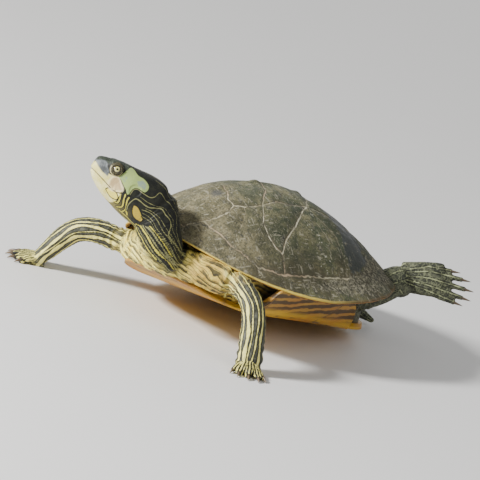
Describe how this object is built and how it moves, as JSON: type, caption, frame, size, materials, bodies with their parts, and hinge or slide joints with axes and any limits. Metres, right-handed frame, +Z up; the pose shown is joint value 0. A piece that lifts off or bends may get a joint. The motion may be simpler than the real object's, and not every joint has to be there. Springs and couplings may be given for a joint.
{
  "type": "map turtle",
  "caption": "Still life-size model of a basking female map turtle: low keeled shell, raised and turned striped neck, forelegs out to the sides, left hind leg stretched back.",
  "frame": {"origin": "centre of the bounding box's footprint, at floor level", "axes": "+Z up; the turtle faces -Y, with its left side at +X"},
  "size_m": [0.2395, 0.2943, 0.1051],
  "materials": {
    "carapace": "worn keratin, half matt",
    "plastron": "smooth keratin",
    "skin": "fine scaly hide, slightly moist",
    "claw": "polished horn",
    "eye": "wet gloss"
  },
  "bodies": {
    "root": {"carapace": "carapace", "plastron": "plastron", "trunk": "skin", "neck": "skin", "head": "skin", "lower_jaw": "skin", "foreleg_upper_l": "skin", "foreleg_upper_r": "skin", "foreleg_lower_l": "skin", "foreleg_lower_r": "skin", "forefoot_l": "skin", "forefoot_r": "skin", "thigh_l": "skin", "thigh_r": "skin", "shin_l": "skin", "shin_r": "skin", "hindfoot_l": "skin", "hindfoot_r": "skin", "tail": "skin", "eye_l": "eye", "eye_r": "eye"}
  },
  "joints": []
}
